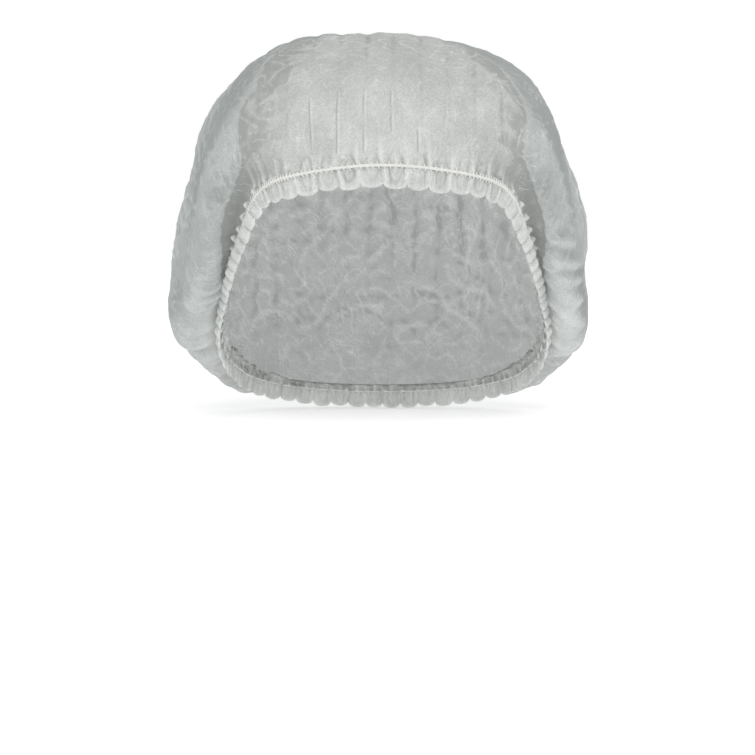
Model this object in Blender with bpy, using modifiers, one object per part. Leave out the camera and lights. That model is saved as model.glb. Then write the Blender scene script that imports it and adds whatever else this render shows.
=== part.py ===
"""Disposable pleated cap in non-woven cloth, in the form it has when worn.

Metres, +Z up, the forehead towards -Y and the wearer's left side at +X. The origin is the point inside
the crown that rests on top of the head. The cap is one gathered crown of thin cloth, the frill that its
hem makes beyond the elastic, and the elastic itself, which is one closed loop round the whole opening.
"""

import math
from typing import NamedTuple

import bmesh
import bpy
from mathutils import Vector

# Opening, measured along the elastic
OPENING_WIDTH = 0.164
OPENING_LENGTH = 0.181
FOREHEAD_REACH = 0.109
FOREHEAD_DROP = 0.0685
NAPE_DROP = 0.188

# Crown
CAP_WIDTH = 0.222
CAP_LENGTH = 0.226
BAG_LIFT = 0.060
BAG_SAG = 0.034
BAG_ROLL = 0.008
TOP_ROUNDNESS = 2.5
PUFF_HEIGHT = 0.0022
PLEAT_HEIGHT = 0.0009
CREASE_HEIGHT = 0.0042
CLOTH = 0.0012

# Where up the cloth its waves stand, from 0 at the elastic to 1 at the top, and how far they spread
PUFF_RISE = 0.24
PUFF_SPREAD = 0.14
PLEAT_RISE = 0.40
PLEAT_SPREAD = 0.20
RELIEF_RISE = 0.06
RELIEF_SPREAD = 0.12

# How far the waves stray from even places, in radians
PUFF_STRAY = 1.1
PLEAT_STRAY = 1.6

# Gathers, frill and elastic
GATHER_HEIGHT = 0.0021
GATHER_REACH = 0.015
PINCH_HEIGHT = 0.0004
FRILL_DEPTH = 0.0090
FRILL_WAVE = 0.0028
SCALLOP_DEPTH = 0.0016
SWELL_PLACE = 0.6
EDGE_WAVE = 0.4
SCALLOP_POWER = 0.6
ELASTIC_DIAMETER = 0.0016
GAP = 0.0003

# How many of each there are
GATHERS = 72
PUFFS = 17
PLEATS = 31
POINTS_PER_GATHER = 4
CROWN_ROWS = 12
ROW_CROWDING = 1.3
SMOOTHED_ROWS = 2
SMOOTHINGS = 4
ELASTIC_POINTS = 96


class Station(NamedTuple):
    """One place on the way round the cap, from the forehead to the nape.

    rim_across is a share of half of OPENING_WIDTH and rim_along of OPENING_LENGTH, from the forehead.
    rim_drop is a share of the way from FOREHEAD_DROP down to NAPE_DROP. left and right are the puffed
    cloth's reach on the wearer's two sides, as shares of half of CAP_WIDTH, along is its share of
    CAP_LENGTH, lift its share of BAG_LIFT above the elastic, and sag its share of BAG_SAG below it and
    of BAG_ROLL over it. square makes the shoulder fuller and lean draws the dome in towards its top.
    gathers is how close the gathers lie there, beside the closest ones, and frill a share of FRILL_DEPTH.
    """

    rim_across: float
    rim_along: float
    rim_drop: float
    left: float
    right: float
    along: float
    lift: float
    sag: float
    square: float
    lean: float
    gathers: float
    frill: float


STATIONS = (
    Station(0.000, 0.000, 0.000, 0.000, 0.000, -0.007, 0.15, 0.00, 2.15, 0.00, 0.68, 1.00),
    Station(0.476, 0.074, 0.034, 0.370, 0.370, 0.044, 0.13, 0.00, 2.15, 0.00, 0.68, 0.95),
    Station(0.707, 0.183, 0.100, 0.610, 0.600, 0.120, 0.12, 0.10, 2.30, 0.02, 0.78, 0.80),
    Station(0.829, 0.285, 0.270, 0.760, 0.770, 0.208, 0.14, 0.35, 2.50, 0.04, 0.95, 0.65),
    Station(0.915, 0.414, 0.437, 0.855, 0.875, 0.314, 0.18, 0.60, 2.70, 0.06, 1.00, 0.60),
    Station(0.963, 0.536, 0.555, 0.915, 0.940, 0.447, 0.22, 0.70, 2.80, 0.08, 1.00, 0.60),
    Station(1.000, 0.630, 0.697, 0.950, 0.995, 0.553, 0.28, 0.55, 2.90, 0.09, 1.00, 0.60),
    Station(0.976, 0.713, 0.807, 0.940, 0.940, 0.650, 0.37, 0.50, 2.85, 0.09, 0.95, 0.70),
    Station(0.930, 0.806, 0.866, 0.890, 0.870, 0.757, 0.44, 0.75, 2.80, 0.08, 0.90, 0.80),
    Station(0.805, 0.912, 0.933, 0.720, 0.730, 0.854, 0.58, 0.85, 2.70, 0.06, 0.85, 0.80),
    Station(0.488, 0.983, 0.983, 0.410, 0.410, 0.951, 0.83, 0.75, 2.50, 0.04, 0.80, 0.80),
    Station(0.000, 1.000, 1.000, 0.000, 0.000, 0.996, 1.00, 0.65, 2.40, 0.03, 0.80, 0.80),
)


class Crease(NamedTuple):
    """One large fold of the crown. turn is its place round the cap in degrees, from the forehead towards
    +X, and rise its place up the cloth, from 0 at the elastic to 1 at the top. length and width are
    shares of CAP_WIDTH, slant is its angle from upright in degrees, and height a share of CREASE_HEIGHT.
    """

    turn: float
    rise: float
    length: float
    width: float
    slant: float
    height: float


CREASES = (
    Crease(-48, 0.50, 0.18, 0.040, -22, 0.90),
    Crease(-64, 0.42, 0.22, 0.055, 22, -0.75),
    Crease(-36, 0.72, 0.16, 0.040, 25, -0.50),
    Crease(-84, 0.58, 0.20, 0.050, -30, 0.70),
    Crease(-100, 0.30, 0.16, 0.050, 65, 0.60),
    Crease(34, 0.74, 0.20, 0.040, -25, 0.60),
    Crease(50, 0.58, 0.24, 0.045, 12, -0.80),
    Crease(64, 0.50, 0.20, 0.050, -12, 0.80),
    Crease(90, 0.30, 0.10, 0.035, 75, 1.00),
    Crease(100, 0.38, 0.12, 0.035, 80, -0.80),
    Crease(96, 0.46, 0.12, 0.035, 78, 0.70),
    Crease(116, 0.60, 0.22, 0.055, 10, 0.60),
    Crease(148, 0.50, 0.24, 0.055, -22, 0.90),
    Crease(174, 0.42, 0.22, 0.050, 18, -0.90),
    Crease(-158, 0.56, 0.24, 0.055, 28, 0.85),
    Crease(-130, 0.45, 0.22, 0.050, -18, -0.80),
    Crease(-62, 0.80, 0.30, 0.140, 60, 0.70),
    Crease(40, 0.88, 0.16, 0.100, 70, -0.25),
    Crease(180, 0.80, 0.24, 0.055, 80, 0.50),
)

DOWN = Vector((0.0, 0.0, -1.0))
RIM_SAMPLES = 1440
TURN_SAMPLES = 180
MERIDIAN_SAMPLES = 48
SLOPE_STEP = 0.02

CLOTH_COLOUR = (0.80, 0.82, 0.82, 1.0)
ELASTIC_COLOUR = (0.92, 0.92, 0.89, 1.0)


def smooth(before, here, after, beyond, share):
    """Catmull-Rom between here and after."""
    slope_here = (after - before) / 2
    slope_after = (beyond - here) / 2
    step = here - after
    cubic = 2 * step + slope_here + slope_after
    square = -3 * step - 2 * slope_here - slope_after
    return here + share * (slope_here + share * (square + share * cubic))


def station_at(place):
    """The station's values at a place from 0 to 1 round the cap, with the side that it is on."""
    last = len(STATIONS) - 1
    side = 1.0 if place <= 0.5 else -1.0
    way = min(place, 1.0 - place) * 2 * last
    row = min(int(way), last - 1)
    share = way - row

    def value(name, odd=False):
        """A column there. An odd column changes its sign past the forehead and past the nape."""
        numbers = []
        for index in range(row - 1, row + 3):
            beyond_end = index < 0 or index > last
            index = -index if index < 0 else index
            index = 2 * last - index if index > last else index
            number = getattr(STATIONS[index], name)
            numbers.append(-number if odd and beyond_end else number)
        return smooth(*numbers, share)

    return side, value


def rim_point(place):
    """The elastic's own line, on the inner face of the cloth."""
    side, value = station_at(place)
    return Vector(
        (
            side * value("rim_across", odd=True) * OPENING_WIDTH / 2,
            value("rim_along") * OPENING_LENGTH - FOREHEAD_REACH,
            -FOREHEAD_DROP - value("rim_drop") * (NAPE_DROP - FOREHEAD_DROP),
        )
    )


def puff_point(place):
    """Where the puffed cloth reaches furthest out."""
    side, value = station_at(place)
    reach = value("left" if side > 0 else "right", odd=True)
    return Vector(
        (
            side * reach * CAP_WIDTH / 2,
            value("along") * CAP_LENGTH - FOREHEAD_REACH,
            rim_point(place).z + value("lift") * BAG_LIFT,
        )
    )


def rim_frame(place):
    """The rim's point there, the way out of the head and the way that the frill hangs."""
    step = 1 / RIM_SAMPLES
    along = (rim_point((place + step) % 1) - rim_point((place - step) % 1)).normalized()
    point = rim_point(place)
    middle = OPENING_LENGTH / 2 - FOREHEAD_REACH
    out = Vector((point.x / OPENING_WIDTH**2, (point.y - middle) / OPENING_LENGTH**2, 0.0))
    out = (out - out.dot(along) * along).normalized()
    return point, out, along.cross(out)


def gather_places(count):
    """Places round the rim that hold the same number of gathers between them."""
    walked = [0.0]
    for index in range(RIM_SAMPLES):
        here = index / RIM_SAMPLES
        after = (index + 1) / RIM_SAMPLES
        close = station_at(here)[1]("gathers")
        walked.append(walked[-1] + (rim_point(after % 1) - rim_point(here)).length * close)
    places = []
    index = 0
    for number in range(count):
        wanted = walked[-1] * number / count
        while walked[index + 1] < wanted:
            index += 1
        share = (wanted - walked[index]) / (walked[index + 1] - walked[index])
        places.append((index + share) / RIM_SAMPLES)
    return places


def neck_length():
    """How far the cloth runs flat on the head above the elastic, clear of it, before it puffs out."""
    return ELASTIC_DIAMETER + 2 * (CLOTH + GAP) + GATHER_HEIGHT


def meridian(place):
    """The cloth's line from the elastic up to the top of the crown, as a list of points."""
    point, out, hang = rim_frame(place)
    _, value = station_at(place)
    foot = point - hang * GAP / 2
    neck = point - hang * neck_length()
    puff = puff_point(place)
    level = Vector((puff.x - neck.x, puff.y - neck.y, 0.0))
    sag = value("sag")
    handles = (
        neck,
        neck + level / 3 + hang * sag * BAG_ROLL,
        puff + DOWN * (puff.z - point.z + sag * BAG_SAG),
        puff,
    )
    line = [foot]
    for index in range(MERIDIAN_SAMPLES):
        share = index / MERIDIAN_SAMPLES
        rest = 1 - share
        weights = (rest**3, 3 * rest**2 * share, 3 * rest * share**2, share**3)
        line.append(sum((w * h for w, h in zip(weights, handles)), Vector()))
    square = value("square")
    for index in range(MERIDIAN_SAMPLES + 1):
        angle = math.pi / 2 * index / MERIDIAN_SAMPLES
        rise = math.sin(angle) ** (2 / square)
        reach = (1 - value("lean") * rise) * max(math.cos(angle), 0.0) ** (2 / TOP_ROUNDNESS)
        line.append(Vector((puff.x * reach, puff.y * reach, puff.z * (1 - rise))))
    return line


def along_line(line, shares):
    """Points at these shares of a line's length, with their distances from its start."""
    walked = [0.0]
    for before, after in zip(line, line[1:]):
        walked.append(walked[-1] + (after - before).length)
    found = []
    index = 0
    for share in shares:
        wanted = min(share, 1.0) * walked[-1]
        while index < len(line) - 2 and walked[index + 1] < wanted:
            index += 1
        step = walked[index + 1] - walked[index]
        part = (wanted - walked[index]) / step if step else 0.0
        found.append((line[index].lerp(line[index + 1], part), wanted))
    return found


def row_shares(length):
    """Shares of a meridian at which the crown's rows lie, closest together at the elastic."""
    neck = neck_length() / length
    upper = [(row / (CROWN_ROWS - 1)) ** ROW_CROWDING for row in range(CROWN_ROWS)]
    return [0.0] + [neck + (1 - neck) * share for share in upper]


def gather_wave(gathers):
    """From 1 on a gather's ridge to -1 in the valley between two, after so many gathers."""
    return math.cos(2 * math.pi * gathers)


def bloom(distance):
    """How fully a gather stands there. It opens past the neck over twice its height, then dies away."""
    past_neck = max(distance - neck_length(), 0.0)
    if not past_neck:
        return 0.0
    opened = min(past_neck / (2 * GATHER_HEIGHT), 1.0)
    return opened * math.exp(-past_neck / GATHER_REACH)


def crease_frame(crease):
    """A crease's middle on the plain crown, with the ways along it and across it."""
    turn = math.radians(crease.turn)
    places = [index / TURN_SAMPLES for index in range(TURN_SAMPLES)]
    place = max(places, key=lambda at: math.cos(turn_of(puff_point(at)) - turn))
    line = meridian(place)
    here, after = (spot for spot, _ in along_line(line, [crease.rise, crease.rise + SLOPE_STEP]))
    up = (after - here).normalized()
    around = Vector((math.cos(turn), math.sin(turn), 0.0))
    around = (around - around.dot(up) * up).normalized()
    slant = math.radians(crease.slant)
    along = up * math.cos(slant) + around * math.sin(slant)
    return here, along, around * math.cos(slant) - up * math.sin(slant)


def turn_of(point):
    """Its angle round the cap, from the forehead towards +X."""
    return math.atan2(point.x, -point.y)


def creases_height(point, frames):
    """The large folds' height at a point of the plain crown."""
    total = 0.0
    for crease, (middle, along, across) in zip(CREASES, frames):
        offset = point - middle
        lengthwise = offset.dot(along)
        sideways = offset.dot(across)
        depth = offset.length_squared - lengthwise**2 - sideways**2
        falls = (lengthwise / (crease.length * CAP_WIDTH)) ** 2
        falls += (sideways**2 + depth / 2) / (crease.width * CAP_WIDTH) ** 2
        total += crease.height * math.exp(-falls)
    return total * CREASE_HEIGHT


def band(rise, middle, spread):
    """From 1 at this rise up the cloth to nothing well above and below it."""
    return math.exp(-(((rise - middle) / spread) ** 2))


def crown_relief(point, gathers, distance, rise, frames):
    """How far the cloth stands out of its plain form there. The puffs are at the sides and the back."""
    turn = turn_of(point)
    backward = (1 - math.cos(turn)) / 2
    puffs = math.sin(PUFFS * turn + PUFF_STRAY * math.sin(3 * turn)) * backward
    pleats = math.sin(PLEATS * turn + PLEAT_STRAY * math.sin(5 * rise))
    folds = (
        PUFF_HEIGHT * puffs * band(rise, PUFF_RISE, PUFF_SPREAD)
        + PLEAT_HEIGHT * pleats * band(rise, PLEAT_RISE, PLEAT_SPREAD)
        + creases_height(point, frames)
    )
    clear = min(max(rise - RELIEF_RISE, 0.0) / RELIEF_SPREAD, 1.0)
    return gather_wave(gathers) * (PINCH_HEIGHT + GATHER_HEIGHT * bloom(distance)) + folds * clear


def finished(name, mesh, material):
    obj = bpy.data.objects.new(name, mesh)
    cap = bpy.data.collections["Disposable cap"]
    cap.objects.link(obj)
    mesh.materials.append(material)
    return obj


def thicken(obj, side):
    """Gives the open cloth its wall, outwards from its inner face with a side of 1, inwards with -1."""
    wall = obj.modifiers.new("Cloth wall", "SOLIDIFY")
    wall.thickness = CLOTH
    wall.offset = side


def cloth_material(name, colour, roughness):
    material = bpy.data.materials.new(name)
    material.use_nodes = True
    shader = material.node_tree.nodes["Principled BSDF"]
    shader.inputs["Base Color"].default_value = colour
    shader.inputs["Roughness"].default_value = roughness
    shader.inputs["Metallic"].default_value = 0.0
    material.diffuse_color = colour
    return material


def make_crown(material):
    """Half a sphere whose rows are carried up the meridians, then raised into gathers and folds."""
    columns = GATHERS * 2
    places = gather_places(columns)
    lines = [meridian(place) for place in places]
    lengths = [along_line(line, [1.0])[0][1] for line in lines]
    rows = [along_line(line, row_shares(length)) for line, length in zip(lines, lengths)]

    bm = bmesh.new()
    bmesh.ops.create_uvsphere(bm, u_segments=columns, v_segments=2 * CROWN_ROWS, radius=1.0)
    lower = [vert for vert in bm.verts if vert.co.z < -0.01]
    bmesh.ops.delete(bm, geom=lower, context="VERTS")
    grid = {}
    for vert in bm.verts:
        around = math.atan2(vert.co.x, -vert.co.y) / (2 * math.pi)
        column = round(around * columns) % columns
        row = round(math.asin(min(vert.co.z, 1.0)) / (math.pi / 2) * CROWN_ROWS)
        grid[vert] = (column, row)
        vert.co = rows[column][row][0]
    bm.normal_update()
    if sum(vert.normal.z for vert in bm.verts if grid[vert][1] == CROWN_ROWS) < 0:
        bmesh.ops.reverse_faces(bm, faces=bm.faces)
        bm.normal_update()
    frames = [crease_frame(crease) for crease in CREASES]
    moves = {}
    for vert, (column, row) in grid.items():
        distance = rows[column][row][1]
        rise = distance / lengths[column]
        outward = vert.normal if row > 1 else rim_frame(places[column])[1]
        moves[vert] = outward * crown_relief(vert.co, column / 2, distance, rise, frames)
    for vert, move in moves.items():
        vert.co += move
    top = [vert for vert, (_, row) in grid.items() if row >= CROWN_ROWS - SMOOTHED_ROWS]
    for _ in range(SMOOTHINGS):
        bmesh.ops.smooth_vert(bm, verts=top, factor=0.5, use_axis_x=True, use_axis_y=True, use_axis_z=True)
    mesh = bpy.data.meshes.new("crown")
    bm.to_mesh(mesh)
    bm.free()
    mesh.shade_smooth()
    thicken(finished("crown", mesh, material), 1)


def scallop(number):
    """From 0 at the pinch between two scallops to 1 at the middle of one."""
    return abs(math.cos(math.pi * number / POINTS_PER_GATHER)) ** SCALLOP_POWER


def frill_point(place, number, row):
    """The frill's outer face: row 0 is pinched under the elastic, 1 stands out and 2 is the free edge."""
    point, out, hang = rim_frame(place)
    point += out * CLOTH
    if row == 0:
        wave = gather_wave(number / POINTS_PER_GATHER)
        return point + hang * GAP / 2 + out * wave * PINCH_HEIGHT
    share = station_at(place)[1]("frill")
    full = scallop(number)
    if row == 1:
        return point + hang * share * FRILL_DEPTH * SWELL_PLACE + out * full * share * FRILL_WAVE
    free_edge = point + hang * (share * FRILL_DEPTH + full * SCALLOP_DEPTH)
    return free_edge + out * full * share * FRILL_WAVE * EDGE_WAVE


def make_frill(material):
    """A ring drawn out into two strips, so that each scallop is a round lobe between two pinches."""
    count = GATHERS * POINTS_PER_GATHER
    places = gather_places(count)
    bm = bmesh.new()
    made = bmesh.ops.create_circle(bm, segments=count, radius=1.0, cap_ends=False)
    rows = [made["verts"]]
    edges = bm.edges[:]
    for _ in range(2):
        made = bmesh.ops.extrude_edge_only(bm, edges=edges)["geom"]
        fresh = {geom for geom in made if isinstance(geom, bmesh.types.BMVert)}
        rows.append(fresh)
        edges = [geom for geom in made if isinstance(geom, bmesh.types.BMEdge)]
        edges = [edge for edge in edges if fresh.issuperset(edge.verts)]
    for row, verts in enumerate(rows):
        for vert in verts:
            number = round(turn_of(vert.co) / (2 * math.pi) * count) % count
            vert.co = frill_point(places[number], number, row)
    bmesh.ops.recalc_face_normals(bm, faces=bm.faces)
    bm.normal_update()
    front = min(bm.faces, key=lambda face: face.calc_center_median().y)
    if front.normal.y > 0:
        bmesh.ops.reverse_faces(bm, faces=bm.faces)
    mesh = bpy.data.meshes.new("frill")
    bm.to_mesh(mesh)
    bm.free()
    mesh.shade_smooth()
    thicken(finished("frill", mesh, material), -1)


def make_elastic(material):
    """A round elastic in one closed loop, lying on the seam between crown and frill."""
    curve = bpy.data.curves.new("elastic", "CURVE")
    curve.dimensions = "3D"
    curve.bevel_depth = ELASTIC_DIAMETER / 2
    curve.bevel_resolution = 2
    spline = curve.splines.new("POLY")
    spline.points.add(ELASTIC_POINTS - 1)
    spline.use_cyclic_u = True
    seat = CLOTH + PINCH_HEIGHT + GAP + ELASTIC_DIAMETER / 2
    for spot, place in zip(spline.points, gather_places(ELASTIC_POINTS)):
        point, out, _ = rim_frame(place)
        spot.co = (*(point + out * seat), 1.0)
    finished("elastic", curve, material)


def main():
    for obj in list(bpy.data.objects):
        bpy.data.objects.remove(obj, do_unlink=True)
    cap = bpy.data.collections.new("Disposable cap")
    bpy.context.scene.collection.children.link(cap)
    cloth = cloth_material("Non-woven cloth", CLOTH_COLOUR, 0.85)
    make_crown(cloth)
    make_frill(cloth)
    make_elastic(cloth_material("Elastic", ELASTIC_COLOUR, 0.6))


main()
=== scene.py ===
"""Looks of the disposable pleated cap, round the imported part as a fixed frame.

The crown and the frill are sheets of thin gathered non-woven cloth, and the elastic is a round thread
under a row of overlock stitches. Metres, +Z up, the forehead towards -Y and the wearer's left at +X.
"""

import math
from typing import NamedTuple

import bmesh
import bpy
import numpy as np
from bpy.props import FloatProperty, FloatVectorProperty, IntProperty, PointerProperty
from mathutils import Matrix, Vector, noise


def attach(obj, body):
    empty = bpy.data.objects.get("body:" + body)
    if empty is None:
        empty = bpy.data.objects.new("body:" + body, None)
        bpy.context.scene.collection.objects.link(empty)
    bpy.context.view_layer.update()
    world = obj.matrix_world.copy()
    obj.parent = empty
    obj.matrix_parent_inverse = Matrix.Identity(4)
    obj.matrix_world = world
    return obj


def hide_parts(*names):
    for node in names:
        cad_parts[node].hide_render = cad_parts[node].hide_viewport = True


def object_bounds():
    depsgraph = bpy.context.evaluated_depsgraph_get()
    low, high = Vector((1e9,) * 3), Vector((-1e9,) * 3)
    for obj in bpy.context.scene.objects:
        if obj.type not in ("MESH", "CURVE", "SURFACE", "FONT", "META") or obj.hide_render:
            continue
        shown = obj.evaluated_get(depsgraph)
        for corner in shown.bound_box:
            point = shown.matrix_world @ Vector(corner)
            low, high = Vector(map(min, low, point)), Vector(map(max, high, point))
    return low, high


bl_info = {
    "name": "Disposable pleated cap",
    "version": (1, 0, 0),
    "blender": (4, 5, 0),
    "location": "3D View > Sidebar > Cap",
    "description": "Builds a single-use cap of gathered non-woven cloth in its worn form, and its stage",
    "category": "Object",
}

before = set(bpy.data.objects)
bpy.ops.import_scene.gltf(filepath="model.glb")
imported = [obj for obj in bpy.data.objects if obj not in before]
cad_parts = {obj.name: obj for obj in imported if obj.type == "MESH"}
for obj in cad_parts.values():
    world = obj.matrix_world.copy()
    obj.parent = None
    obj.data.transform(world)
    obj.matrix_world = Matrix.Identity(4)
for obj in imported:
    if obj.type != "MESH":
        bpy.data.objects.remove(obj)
CAD_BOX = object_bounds()

MILLIMETRE = 0.001
FULL_TURN = 2 * math.pi
RIM_SAMPLES = 1440
TABLE_COLUMNS = 720
TABLE_ROWS = 240
CURVE_SAMPLES = 48
CROWN_SEED, FRILL_SEED, STITCH_SEED, RING_SEED = 11, 23, 5, 31

# How long the gathered cloth is round the elastic, for its pattern, and where its middle pleat line lies
CLOTH_ROUND = 0.66
PLEAT_START = 0.0049

ELASTIC_POINTS, ELASTIC_SIDES = 432, 10
ELASTIC_GAP = 0.0009
STITCH_BENDS = (-80, -45, 0, 45, 80)
FLOOR_GAP = 0.0012
FLOOR_RADIUS = 9.0

CAMERA_PLACE = (-0.003, -1.2, -0.0987)
CAMERA_AIM = (-0.003, 0.0, -0.1757)
CAMERA_LENS = 110.0

WHITE = (1.0, 1.0, 1.0, 1.0)
# Bluish tint of the painted cool shade on the cloth away from the forehead
PAINTED_SHADE_TINT = (0.975, 0.997, 1.015, 1.0)
SKY = (0.94, 0.98, 1.0, 1.0)
LAMP_COLOUR = (1.0, 0.995, 0.965)


class Station(NamedTuple):
    """One place on the way round the cap, from the forehead to the nape.

    rim_across and rim_along are shares of half the opening's width and of its length. rim_drop is the
    share of the way down from the forehead to the nape. left and right are the puffed cloth's reach on
    the wearer's two sides, along its place towards the nape, lift its height over the elastic, and sag
    how far it hangs below. square fills the shoulder and lean draws the dome in towards its top.
    gathers is how close the gathers lie, and frill the frill's share of its depth.
    """

    rim_across: float
    rim_along: float
    rim_drop: float
    left: float
    right: float
    along: float
    lift: float
    sag: float
    square: float
    lean: float
    gathers: float
    frill: float


STATIONS = (
    Station(0.000, 0.000, 0.000, 0.000, 0.000, -0.007, 0.15, 0.00, 2.15, 0.00, 0.68, 1.00),
    Station(0.476, 0.074, 0.034, 0.370, 0.370, 0.044, 0.24, 0.00, 2.15, 0.00, 0.68, 0.95),
    Station(0.707, 0.183, 0.100, 0.610, 0.600, 0.120, 0.42, 0.10, 2.30, 0.02, 0.78, 0.80),
    Station(0.829, 0.285, 0.270, 0.760, 0.770, 0.208, 0.50, 0.35, 2.50, 0.04, 0.95, 0.65),
    Station(0.915, 0.414, 0.437, 0.855, 0.875, 0.314, 0.42, 0.60, 2.70, 0.06, 1.00, 0.60),
    Station(0.963, 0.536, 0.555, 0.915, 0.940, 0.447, 0.30, 0.70, 2.80, 0.08, 1.00, 0.60),
    Station(1.000, 0.630, 0.697, 0.950, 0.995, 0.553, 0.28, 0.55, 2.90, 0.09, 1.00, 0.60),
    Station(0.976, 0.713, 0.807, 0.940, 0.940, 0.650, 0.37, 0.50, 2.85, 0.09, 0.95, 0.70),
    Station(0.930, 0.806, 0.866, 0.890, 0.870, 0.757, 0.44, 0.75, 2.80, 0.08, 0.90, 0.80),
    Station(0.805, 0.912, 0.933, 0.720, 0.730, 0.854, 0.58, 0.85, 2.70, 0.06, 0.85, 0.80),
    Station(0.488, 0.983, 0.983, 0.410, 0.410, 0.951, 0.83, 0.75, 2.50, 0.04, 0.80, 0.80),
    Station(0.000, 1.000, 1.000, 0.000, 0.000, 0.996, 1.00, 0.65, 2.40, 0.03, 0.80, 0.80),
)


class Fold(NamedTuple):
    """One fold of the crown, as a straight ridge, or a valley where its height is negative.

    turn is its middle's place round the cap in degrees, from the forehead towards +X, and rise its place
    up the cloth, from 0 at the elastic to 1 at the top. slant is its angle from upright in degrees.
    length, width and height are in millimetres. A sharp fold has a crest, a soft one is round.
    """

    turn: float
    rise: float
    slant: float
    length: float
    width: float
    height: float
    sharp: float


FOLDS = (
    Fold(-38, 0.37, -2, 36, 8, 2.2, 0.2),
    Fold(-39, 0.235, -65, 9, 4, 1.6, 0.6),
    Fold(-64, 0.42, 22, 49, 12, -3.1, 0.2),
    Fold(-36, 0.72, 25, 36, 9, -2.1, 0.4),
    Fold(-84, 0.58, -30, 44, 11, 2.9, 0.3),
    Fold(-100, 0.30, 65, 36, 11, 1.6, 0.3),
    Fold(33, 0.32, -22, 34, 8, 2.0, 0.2),
    Fold(20, 0.73, -70, 20, 14, -0.2, 0.0),
    Fold(46, 0.48, -4, 46, 11, -2.8, 0.2),
    Fold(62, 0.58, -12, 40, 11, 1.6, 0.5),
    Fold(50, 0.69, 40, 34, 22, -1.0, 0.0),
    Fold(93, 0.355, 75, 18, 14, 3.4, 0.1),
    Fold(88, 0.27, 75, 16, 9, 2.2, 0.3),
    Fold(61, 0.140, 92, 17, 2.8, 1.6, 0.6),
    Fold(67, 0.150, 90, 20, 3.0, 2.1, 0.6),
    Fold(73, 0.145, 86, 20, 3.2, 2.3, 0.6),
    Fold(79, 0.130, 80, 18, 3.2, 2.1, 0.6),
    Fold(87, 0.115, 70, 16, 3.5, 1.8, 0.6),
    Fold(96, 0.46, 78, 26, 8, 1.9, 0.4),
    Fold(102, 0.10, 10, 16, 8, 1.8, 0.2),
    Fold(110, 0.08, 0, 16, 5, -2.4, 0.4),
    Fold(118, 0.12, 60, 16, 12, -2.8, 0.0),
    Fold(116, 0.60, 10, 49, 12, 2.5, 0.3),
    Fold(148, 0.50, -22, 53, 12, 3.8, 0.4),
    Fold(174, 0.42, 18, 49, 11, -3.8, 0.2),
    Fold(-158, 0.56, 28, 53, 12, 3.6, 0.4),
    Fold(-130, 0.45, -18, 49, 11, -3.3, 0.2),
    Fold(-97, 0.14, 30, 24, 12, 1.1, 0.1),
    Fold(-104, 0.08, 0, 20, 5, -3.4, 0.4),
    Fold(-66, 0.74, 50, 44, 26, 2.6, 0.0),
    Fold(180, 0.80, 80, 53, 12, 2.1, 0.3),
)


def metres(name, description, default, precision=4):
    """A size that can be changed."""
    return FloatProperty(
        name=name, description=description, default=default, unit="LENGTH", precision=precision
    )


def paint(name, description, default):
    """A colour that can be changed."""
    return FloatVectorProperty(name=name, description=description, default=default, size=3, subtype="COLOR")


def number(name, description, default):
    """A whole number that can be changed."""
    return IntProperty(name=name, description=description, default=default)


class OpeningSettings(bpy.types.PropertyGroup):
    """The line of the elastic, which is the cap's opening."""

    width: metres("Width", "Inside width from ear to ear", 0.164)
    length: metres("Length", "From the forehead to the nape", 0.181)
    reach: metres("Forehead reach", "How far the forehead lies before the highest point", 0.109)
    forehead_drop: metres("Forehead drop", "How far the elastic lies below the top at the forehead", 0.0685)
    nape_drop: metres("Nape drop", "How far the elastic lies below the top at the nape", 0.188)
    gathers: number("Gathers", "How many gathers lie round the elastic", 72)


class CrownSettings(bpy.types.PropertyGroup):
    """The gathered bag of cloth."""

    width: metres("Width", "From puff to puff", 0.222)
    length: metres("Length", "From forehead to back", 0.226)
    lift: metres("Lift", "Height of the puff over the nape", 0.060)
    sag: metres("Sag", "How far the cloth hangs below the elastic", 0.034)
    roll: metres("Roll", "How far the hanging cloth turns over the elastic", 0.008)
    cloth: metres("Cloth", "Thickness of the solid cloth", 0.0012)
    gather_height: metres("Gather height", "How far a gather stands out", 0.0024)
    gather_reach: metres("Gather reach", "How far a gather runs up the cloth", 0.013)
    pleat_pitch: metres("Pleat pitch", "Width of the pleats in which the cloth was packed", 0.01275)
    pleat_height: metres("Pleat height", "How far the cloth puffs out between two pleat lines", 0.0009)
    crumple_height: metres("Crumple height", "How far the cloth's crumples stand out", 0.0011)
    rings: number("Rings", "Rings of faces from the top to the elastic", 150)


class FrillSettings(bpy.types.PropertyGroup):
    """The ruffled hem beyond the elastic."""

    depth: metres("Depth", "From the elastic to the free edge", 0.0090)
    scallop: metres("Scallop", "How far each lobe hangs below its pinches", 0.0026)
    swell: metres("Swell", "How far each lobe stands out", 0.0018)
    ridge: metres("Ridge", "How far the doubled cloth stands out between two lobes", 0.0020)
    rows: number("Rows", "Rows of faces across the frill", 14)
    points: number("Points", "Points on each lobe", 22)


class ElasticSettings(bpy.types.PropertyGroup):
    """The elastic and the stitches over it."""

    diameter: metres("Diameter", "Of the elastic thread", 0.0015)
    stitch_pitch: metres("Stitch pitch", "From stitch to stitch", 0.0018)
    stitch_width: metres("Stitch width", "How far a stitch reaches across the elastic", 0.0034)
    thread: metres("Thread", "Diameter of the sewing thread", 0.0007, 5)
    seat: metres("Seat", "How far the gathered cloth stands out under the elastic", 0.0013)


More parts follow.
